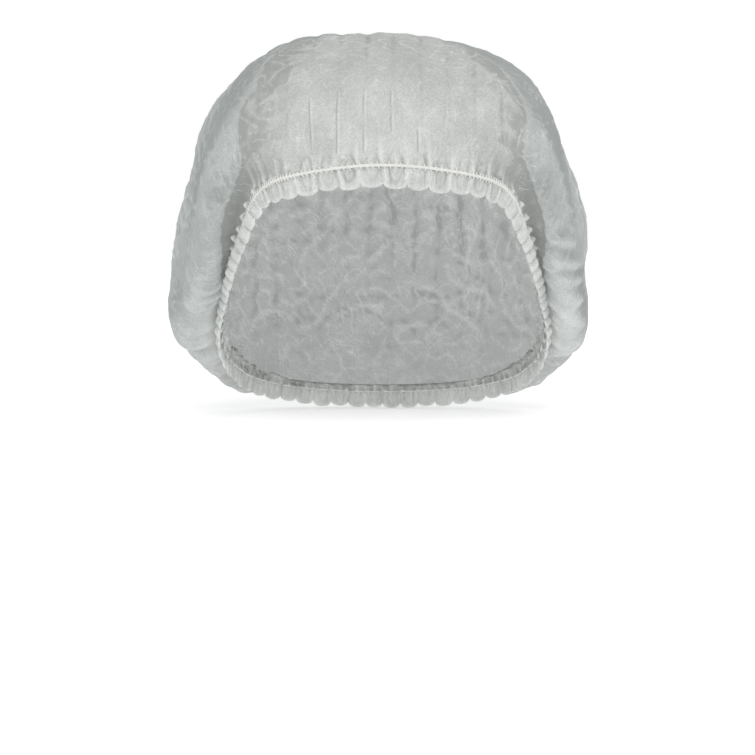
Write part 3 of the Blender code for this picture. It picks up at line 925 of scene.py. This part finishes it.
def cloth_material(name, colours, see_through, base, pleat_pitch=0.0):
    """Thin spun-bonded cloth: cloudy, fibrous and creased, white where it lies double, with painted shade
    in folds and painted highlight on crests from the fold attribute, and a painted cool shade tint.
    """
    make = Shader(bpy.data.materials.new(name))
    place = make.node("ShaderNodeTexCoord").outputs["Object"]
    flat = make.node("ShaderNodeUVMap", uv_map="Cloth").outputs["UV"]
    up = make.parts(flat)["Y"]
    # The fold attribute holds painted shade and highlight, from 0 in folds to 1 on crests
    fold = make.attribute("fold")

    clouds = make.noise(place, 48.0, detail=6.0, roughness=0.66)
    speckle = make.noise(place, 1050.0, detail=2.0, roughness=0.75)
    upright = make.hairs(place, (210.0, 210.0, 34.0), (0.0, 6.0, 0.0), 0.017)
    slanted = make.hairs(place, (230.0, 60.0, 40.0), (0.0, 38.0, 0.0), 0.014)
    level = make.hairs(place, (36.0, 90.0, 250.0), (0.0, -8.0, 0.0), 0.014)
    fine = make.hairs(place, (520.0, 420.0, 130.0), (0.0, -30.0, 20.0), 0.022)
    here = make.noise(place, 42.0, detail=3.0, roughness=0.6)
    hairs = make.most(
        make.times(upright, make.spread(here, 0.46, 0.60)),
        make.times(slanted, make.spread(here, 0.48, 0.36)),
        make.times(level, make.spread(clouds, 0.48, 0.60)),
        make.times(fine, make.spread(clouds, 0.50, 0.40, 0.0, 0.5)),
    )
    streaks = make.noise(make.mapped(flat, (420.0, 46.0, 1.0)), 1.0, detail=3.0, distortion=0.2)
    streaks = make.times(make.spread(streaks, 0.50, 0.68), make.spread(up, 0.003, 0.020, 1.0, 0.0))
    fibre = make.noise(make.mapped(flat, (1700.0, 240.0, 1.0), (0.0, 0.0, 40.0)), 1.0, detail=2.0)

    # Painted highlight on crests and painted shade in folds
    ridges = make.spread(fold, 0.52, 0.95)
    fold_shade = make.spread(fold, 0.48, 0.08)
    # Whiter where the cloth's fibres, streaks and clouds are, where it lies double, on crests with a
    # painted highlight, and with painted light from the doubled attribute over the forehead and the lobes
    whiter = make.total(
        make.times(hairs, 0.36),
        make.times(streaks, 0.24),
        make.times(ridges, 0.36),
        make.times(make.attribute("doubled"), 0.50),
        make.spread(clouds, 0.34, 0.66, -0.13, 0.15),
        make.spread(speckle, 0.30, 0.70, -0.17, 0.17),
        make.spread(fibre, 0.36, 0.66, -0.04, 0.05),
        base,
    )
    # Painted shade, drawn towards the shade colour in folds, less where fibres show
    painted_shade = make.times(fold_shade, 0.64, make.spread(hairs, 0.0, 0.8, 1.0, 0.25))
    # Painted shadow lines and painted highlights along the pleat lines
    if pleat_pitch:
        pleat_shadow, light = pleat_shadows_and_highlights(make, place, up, pleat_pitch)
        whiter = make.total(whiter, make.times(light, 0.24))
        painted_shade = make.most(painted_shade, make.times(pleat_shadow, 0.55))
    whiter = make.node("ShaderNodeClamp", {"Value": whiter}).outputs[0]
    colour = make.mixed(whiter, rgba(colours.cloth), rgba(colours.doubled))
    colour = make.mixed(painted_shade, colour, rgba(colours.shade))
    # Painted cool shade, tinted bluish where the cool attribute is high
    tint = make.mixed(make.attribute("cool"), WHITE, PAINTED_SHADE_TINT)
    tinted = make.node("ShaderNodeVectorMath", {0: colour, 1: tint}, operation="MULTIPLY")
    colour = tinted.outputs["Vector"]

    height = make.total(make.times(hairs, 0.6), make.times(fibre, 0.4), make.times(speckle, 0.5))
    bump = make.bump(height, 0.0004)
    lit = make.lit(colour, bump, 0.78, 0.25, 0.34, Normal=bump)
    gaps = make.spread(whiter, 0.0, 0.55, see_through, see_through * 0.25)
    return make.finish(make.either(gaps, lit, make.output("ShaderNodeBsdfTransparent")))


def thread_material(name, colour, pitch):
    """Twisted elastic or sewing thread: near-white, with fine slanting strands."""
    make = Shader(bpy.data.materials.new(name))
    place = make.node("ShaderNodeTexCoord").outputs["Object"]
    strands = make.noise(place, 1.0 / pitch, detail=3.0, roughness=0.6, distortion=0.4)
    shade = make.spread(strands, 0.30, 0.70, 0.86, 1.0)
    tone = make.node("ShaderNodeHueSaturation", {"Value": shade, "Color": rgba(colour)}).outputs[0]
    return make.finish(make.lit(tone, make.bump(strands, 0.0002), 0.6, 0.3, 0.2))


def disc_places(flat):
    """Where the points of a square grid lie on the crown.

    It gives the share of the gathers round the elastic, and the rise from 0 at the elastic to 1 at the top.
    """
    ring = np.abs(flat).max(axis=1)
    wide = np.abs(flat[:, 0]) >= np.abs(flat[:, 1])
    lesser = np.where(wide, flat[:, 1], flat[:, 0])
    greater = np.where(wide, flat[:, 0], flat[:, 1])
    ratio = np.divide(lesser, greater, out=np.zeros(len(flat)), where=ring > 1e-9)
    angle = np.where(wide, ratio * math.pi / 4, math.pi / 2 - ratio * math.pi / 4)
    angle = angle + np.where(greater < 0, math.pi, 0.0)
    return (angle / FULL_TURN + 0.25) % 1.0, (1.0 - ring) ** 1.12


def bulge_of(points, normals, flat, rings):
    """How far each point of the square grid stands out from the cloth round it."""
    order = np.lexsort((np.round(flat[:, 0] * rings), np.round(flat[:, 1] * rings)))
    side = 2 * rings + 1
    grid = points[order].reshape(side, side, 3)
    facing = normals[order].reshape(side, side, 3)
    bulge = np.empty(len(points))
    bulge[order] = ((grid - blurred(grid, 3)) * facing).sum(2).reshape(-1)
    return bulge


class CAP_OT_crown(bpy.types.Operator):
    """Builds the crown, one gathered sheet of cloth from the elastic over the top"""

    bl_idname = "cap.crown"
    bl_label = "Crown"

    def execute(self, context):
        settings = context.scene.cap
        rings = settings.crown.rings
        bm = bmesh.new()
        bmesh.ops.create_grid(bm, x_segments=2 * rings, y_segments=2 * rings, size=1.0)
        mesh = mesh_of(bm, "crown_cloth")
        flat = coordinates(mesh)[:, :2]
        shares, rises = disc_places(flat)
        places = CrownPlaces(shares, rises, settings)
        relief, white = places.relief(settings, np.random.default_rng(CROWN_SEED))
        points = places.plain + places.normals * (relief + 0.5 * settings.crown.cloth)[:, None]
        placed(mesh, points)

        bulge = bulge_of(points, places.normals, flat, rings)
        shaded(mesh, "fold", places.shade(bulge, settings.opening.gathers))
        shaded(mesh, "doubled", places.doubled(white))
        shaded(mesh, "cool", places.cool)
        set_uv(mesh, shares * CLOTH_ROUND, places.distance)
        pitch = settings.crown.pleat_pitch
        material = cloth_material("Gathered cloth", settings.colours, 0.04, 0.09, pitch)
        crown = finished("crown_cloth", mesh, material, "crown")
        face_outwards(mesh, (0.0, 0.0, 1.0))
        return {"FINISHED"}


def extruded(bm, edges):
    """Extrudes a ring of edges once, and gives the fresh vertices and the edges between them."""
    made = bmesh.ops.extrude_edge_only(bm, edges=edges)["geom"]
    fresh = [geom for geom in made if isinstance(geom, bmesh.types.BMVert)]
    known = set(fresh)
    edges = [geom for geom in made if isinstance(geom, bmesh.types.BMEdge)]
    return fresh, [edge for edge in edges if known.issuperset(edge.verts)]


def frill_mesh(count, rows):
    """A band of so many rows of faces, with the row of each vertex."""
    bm = bmesh.new()
    bmesh.ops.create_circle(bm, segments=count, radius=1.0, cap_ends=False)
    edges = bm.edges[:]
    rings = [bm.verts[:]]
    for _ in range(rows):
        fresh, edges = extruded(bm, edges)
        rings.append(fresh)
    bm.verts.index_update()
    level = np.empty(len(bm.verts), int)
    for row, ring in enumerate(rings):
        level[[vert.index for vert in ring]] = row
    return mesh_of(bm, "frill_cloth"), level


class FrillPlaces:
    """Where each point of the frill lies on its lobe, and how the lobe stands and hangs there."""

    def __init__(self, shares, down, settings):
        frill = settings.frill
        self.gathers = gathers = settings.opening.gathers
        rim = Rim(settings.opening)
        rng = np.random.default_rng(FRILL_SEED)
        self.down = down
        share = column(rim.place_of(shares), "frill")
        self.phase = phase = shares * gathers
        border = np.round(phase).astype(int) % gathers
        lobe = np.floor(phase).astype(int) % gathers
        jitter = rng.uniform(-0.09, 0.09, gathers)
        lean = rng.uniform(-0.16, 0.16, gathers)
        self.away = phase - np.round(phase) - jitter[border] - lean[border] * down
        inside = np.clip(np.abs(phase - np.floor(phase) - 0.5) * 2, 0.0, 1.0)
        self.full = np.sqrt(np.clip(1 - inside**2, 0.0, 1.0))
        self.rope = smooth_step(0.90, 0.62, share)
        deep = frill.depth * share * rng.uniform(0.92, 1.06, gathers)[lobe]
        long = frill.scallop * (0.75 + 0.25 * share)
        hem = smooth_step(0.84, 0.97, down)
        self.reach = down * (deep + long * self.full * down) - 0.0006 * hem
        stand = 0.2 + 0.8 * smooth_step(0.0, 0.35, down)
        self.ridge = bell(self.away, 0.0, 0.085) * stand * (1 - 0.35 * down)
        creases = np.cos(FULL_TURN * (phase * 3 + 0.45 * np.sin(phase * 7.3)))
        self.creases = 0.00022 * creases * np.exp(-down / 0.45) * smooth_step(0.0, 0.12, down)
        point, out, hang = rim.at(shares)
        hung = point + hang * self.reach[:, None]
        lift = self.lift(settings, hung)
        shear = np.cross(hang, out) * (lean[border] * 0.0016 * down)[:, None]
        self.points = point + out * lift[:, None] + hang * self.reach[:, None] + shear

    def lift(self, settings, hung):
        """How far the cloth stands out from the elastic's line: the lobe, its ridges, creases and hem."""
        frill = settings.frill
        down = self.down
        belly = np.sin(np.pi * np.clip(down * 0.80 + 0.14, 0.0, 1.0))
        swell = frill.swell * (0.55 + 1.9 * self.rope) * self.full * belly
        ridge = frill.ridge * (0.8 - 0.55 * self.rope) * self.ridge
        rolled = 0.00045 * np.sin(np.pi * smooth_step(0.80, 1.0, down))
        lift = settings.crown.cloth + ridge + swell + self.creases + rolled
        lift += 0.6 * settings.elastic.seat * bell(down, 0.0, 0.25)
        lift += 0.00025 * noise_at(hung, 260.0, 31.0) * smooth_step(0.0, 0.2, down)
        return lift - 0.0005 * (1 - smooth_step(0.0, 0.10, down))

    def shade(self):
        """Painted shade and highlight, from 0 in the depth of a fold to 1 on a crest: painted highlight on
        the ridges, painted shade and highlight along the creases, painted shade beside the ridges, between
        the lobes of the gathered sides, just below the elastic and round the puffs, and lighter towards the
        hem.
        """
        loose = 1 - self.rope
        beside = bell(np.abs(self.away), 0.19, 0.06) * (1 - 0.5 * self.down)
        shade = 0.5 + 0.45 * self.ridge * loose - 0.30 * (1 - self.full) * self.rope - 0.26 * beside * loose
        shade -= 0.30 * np.exp(-self.down / 0.09) * (1 - 0.7 * bell(self.away, 0.0, 0.16))
        shade -= 0.28 * puff_shade_rings(self.phase, self.reach, self.gathers) * loose
        shade += 500.0 * self.creases + 0.30 * smooth_step(0.78, 0.92, self.down)
        return np.clip(shade, 0.0, 1.0)

    def doubled(self):
        """How far the cloth lies double: on the ridges, at the gathered sides and in the hem."""
        return 0.30 + 0.22 * self.ridge + 0.25 * self.rope + 0.12 * smooth_step(0.75, 0.90, self.down)


class CAP_OT_frill(bpy.types.Operator):
    """Builds the frill, the ruffled hem in lobes with doubled cloth between them"""

    bl_idname = "cap.frill"
    bl_label = "Frill"

    def execute(self, context):
        settings = context.scene.cap
        frill = settings.frill
        count = settings.opening.gathers * frill.points
        mesh, level = frill_mesh(count, frill.rows)
        flat = coordinates(mesh)
        turn = np.arctan2(flat[:, 0], -flat[:, 1]) / FULL_TURN
        shares = np.round(turn * count).astype(int) % count / count
        down = level / frill.rows
        places = FrillPlaces(shares, down, settings)
        placed(mesh, places.points)
        shaded(mesh, "fold", places.shade())
        shaded(mesh, "doubled", places.doubled())
        set_uv(mesh, shares * CLOTH_ROUND, down * frill.depth)
        material = cloth_material("Frill cloth", settings.colours, 0.03, 0.22)
        piece = finished("frill_cloth", mesh, material, "frill")
        face_outwards(mesh, (0.0, -1.0, 0.0))
        return {"FINISHED"}


def turns_of(verts):
    """The angle of each vertex of a circle round its middle."""
    return {vert: math.atan2(vert.co.y, vert.co.x) for vert in verts}


def swept(name, path, outs, radius, sides):
    """A closed round tube along a closed path, by extruding one ring on and joining the ends."""
    bm = bmesh.new()
    circle = bmesh.ops.create_circle(bm, segments=sides, radius=radius, cap_ends=False)["verts"]
    edges = bm.edges[:]
    rings = [turns_of(circle)]
    for _ in range(len(path) - 1):
        fresh, edges = extruded(bm, edges)
        rings.append(turns_of(fresh))
    for index, ring in enumerate(rings):
        along = Vector(path[(index + 1) % len(path)] - path[index - 1]).normalized()
        out = Vector(outs[index])
        out = (out - out.dot(along) * along).normalized()
        across = along.cross(out)
        for vert, angle in ring.items():
            vert.co = Vector(path[index]) + radius * (out * math.cos(angle) + across * math.sin(angle))
    ends = [edge for edge in bm.edges if len(edge.link_faces) == 1]
    bmesh.ops.bridge_loops(bm, edges=ends)
    bmesh.ops.recalc_face_normals(bm, faces=bm.faces)
    return mesh_of(bm, name)


class CAP_OT_elastic(bpy.types.Operator):
    """Builds the elastic in one loop, and the overlock stitches that hold it"""

    bl_idname = "cap.elastic"
    bl_label = "Elastic and stitches"

    def execute(self, context):
        settings = context.scene.cap
        elastic = settings.elastic
        rim = Rim(settings.opening)
        shares = np.arange(ELASTIC_POINTS) / ELASTIC_POINTS
        point, out, hang = rim.at(shares)
        seat = settings.crown.cloth + ELASTIC_GAP + elastic.diameter / 2
        wave = np.cos(FULL_TURN * shares * settings.opening.gathers)
        path = point + out * (seat + 0.00012 * wave)[:, None]
        mesh = swept("elastic_thread", path, out, elastic.diameter / 2, ELASTIC_SIDES)
        material = thread_material("Elastic thread", settings.colours.elastic, 0.0004)
        finished("elastic_thread", mesh, material, "elastic")

        count = round(rim.length / elastic.stitch_pitch)
        gathered = np.interp(np.arange(count) / count, np.linspace(0, 1, RIM_SAMPLES + 1), rim.gathered)
        point, out, hang = rim.at(gathered)
        along = np.cross(out, hang)
        rng = np.random.default_rng(STITCH_SEED)
        bm = bmesh.new()
        for ways in zip(point, out, hang, along):
            self.stitch(bm, elastic, *(Vector(way) for way in ways), seat, rng)
        bmesh.ops.recalc_face_normals(bm, faces=bm.faces)
        material = thread_material("Sewing thread", settings.colours.elastic, 0.0003)
        finished("stitches", mesh_of(bm, "stitches"), material, None)
        return {"FINISHED"}

    def stitch(self, bm, elastic, point, out, hang, along, seat, rng):
        """One loop of thread over the elastic, slanting a little, as a short arched tube."""
        circle = bmesh.ops.create_circle(bm, segments=6, radius=1.0, cap_ends=True)["verts"]
        face = circle[0].link_faces[0]
        rings = [turns_of(circle)]
        for _ in STITCH_BENDS[1:]:
            grown = bmesh.ops.extrude_face_region(bm, geom=[face])["geom"]
            if len(rings) > 1:
                bmesh.ops.delete(bm, geom=[face], context="FACES_ONLY")
            face = next(geom for geom in grown if isinstance(geom, bmesh.types.BMFace))
            rings.append(turns_of(geom for geom in grown if isinstance(geom, bmesh.types.BMVert)))
        slant = rng.uniform(0.15, 0.40)
        wide = elastic.stitch_width / 2 * rng.uniform(0.9, 1.15)
        tall = elastic.diameter / 2 + elastic.thread * 0.5
        across = hang + along * slant
        for bend, ring in zip(STITCH_BENDS, rings):
            angle = math.radians(bend)
            centre = point + across * (wide * math.sin(angle))
            centre += out * (seat + tall * math.cos(angle) - elastic.diameter * 0.25)
            run = (across * math.cos(angle) - out * math.sin(angle)).normalized()
            side = run.cross(out).normalized() if abs(run.dot(out)) < 0.99 else along
            third = side.cross(run)
            for vert, turn in ring.items():
                vert.co = centre + (side * math.cos(turn) + third * math.sin(turn)) * elastic.thread / 2


class Lamp(NamedTuple):
    """A wide soft light: where it comes from, how wide it is in degrees, and its power."""

    name: str
    place: tuple
    softness: float
    power: float


LAMPS = (
    Lamp("key_light", (0.12, -1.0, 0.85), 45.0, 1.52),
    Lamp("fill_light", (-0.6, -1.0, 0.30), 70.0, 0.30),
    Lamp("back_light", (0.35, 1.0, 0.80), 45.0, 0.75),
    Lamp("left_light", (-1.0, -0.10, 0.35), 55.0, 0.48),
    Lamp("right_light", (1.0, -0.10, 0.35), 55.0, 0.40),
)


class CAP_OT_stage(bpy.types.Operator):
    """Builds the pale floor, the soft studio light and the camera"""

    bl_idname = "cap.stage"
    bl_label = "Stage"

    def execute(self, context):
        scene = context.scene
        self.floor(scene)
        for lamp in LAMPS:
            light = bpy.data.lights.new(lamp.name, "SUN")
            light.angle = math.radians(lamp.softness)
            light.energy = lamp.power
            light.color = LAMP_COLOUR
            self.aimed(scene, light, Vector(lamp.place), Vector())
        self.world(scene)
        scene.view_settings.view_transform = "Standard"
        scene.view_settings.look = "None"

        data = bpy.data.cameras.new("camera")
        data.lens = CAMERA_LENS
        data.sensor_width = 36.0
        data.clip_start = 0.05
        scene.camera = self.aimed(scene, data, Vector(CAMERA_PLACE), Vector(CAMERA_AIM))
        return {"FINISHED"}

    def floor(self, scene):
        """A pale round floor, which looks a little brighter than it lights the cap."""
        bm = bmesh.new()
        bmesh.ops.create_circle(bm, segments=96, radius=FLOOR_RADIUS, cap_ends=True)
        bmesh.ops.translate(bm, verts=bm.verts, vec=(0.0, 0.0, CAD_BOX[0][2] - FLOOR_GAP))
        mesh = mesh_of(bm, "floor")
        make = Shader(bpy.data.materials.new("Floor"))
        diffuse = make.output("ShaderNodeBsdfDiffuse", Color=rgba(scene.cap.colours.floor))
        seen = make.node("ShaderNodeLightPath").outputs["Is Camera Ray"]
        glow = make.output("ShaderNodeEmission", Strength=make.spread(seen, 0.0, 1.0, 0.32, 0.42))
        both = make.node("ShaderNodeAddShader", {0: diffuse, 1: glow}).outputs[0]
        mesh.materials.append(make.finish(both))
        floor = bpy.data.objects.new("floor", mesh)
        scene.collection.objects.link(floor)

    def world(self, scene):
        """A white backdrop for the camera, and a faint cool light from all round."""
        make = Shader(bpy.data.worlds.new("Studio"))
        seen = make.node("ShaderNodeLightPath").outputs["Is Camera Ray"]
        light = make.output("ShaderNodeBackground", Color=SKY, Strength=0.30)
        backdrop = make.output("ShaderNodeBackground", Color=WHITE)
        scene.world = make.finish(make.either(seen, light, backdrop), "ShaderNodeOutputWorld")

    def aimed(self, scene, data, place, aim):
        """Puts a light or the camera in its place, turned to what it looks at."""
        obj = bpy.data.objects.new(data.name, data)
        obj.location = place
        obj.rotation_euler = (aim - place).to_track_quat("-Z", "Y").to_euler()
        scene.collection.objects.link(obj)
        return obj


class CAP_PT_panel(bpy.types.Panel):
    """Lists the cap's sizes, colours and the buttons that build it"""

    bl_idname = "CAP_PT_panel"
    bl_label = "Disposable cap"
    bl_space_type = "VIEW_3D"
    bl_region_type = "UI"
    bl_category = "Cap"

    def draw(self, context):
        settings = context.scene.cap
        for title, group in (
            ("Opening", settings.opening),
            ("Crown", settings.crown),
            ("Frill", settings.frill),
            ("Elastic", settings.elastic),
            ("Colours", settings.colours),
        ):
            box = self.layout.box()
            box.label(text=title)
            for name in group.bl_rna.properties.keys():
                if name not in ("rna_type", "name"):
                    box.prop(group, name)
        for operator in OPERATORS:
            self.layout.operator(operator.bl_idname)


OPERATORS = (CAP_OT_elastic, CAP_OT_crown, CAP_OT_frill, CAP_OT_stage)
CLASSES = (
    OpeningSettings,
    CrownSettings,
    FrillSettings,
    ElasticSettings,
    ColourSettings,
    CapSettings,
    *OPERATORS,
    CAP_PT_panel,
)


def register():
    for cls in CLASSES:
        bpy.utils.register_class(cls)
    bpy.types.Scene.cap = PointerProperty(type=CapSettings, name="Cap", description="The disposable cap")


def unregister():
    del bpy.types.Scene.cap
    for cls in reversed(CLASSES):
        bpy.utils.unregister_class(cls)


def main():
    register()
    bpy.ops.cap.stage()
    bpy.ops.cap.elastic()
    bpy.ops.cap.crown()
    bpy.ops.cap.frill()


if __name__ == "__main__":
    main()
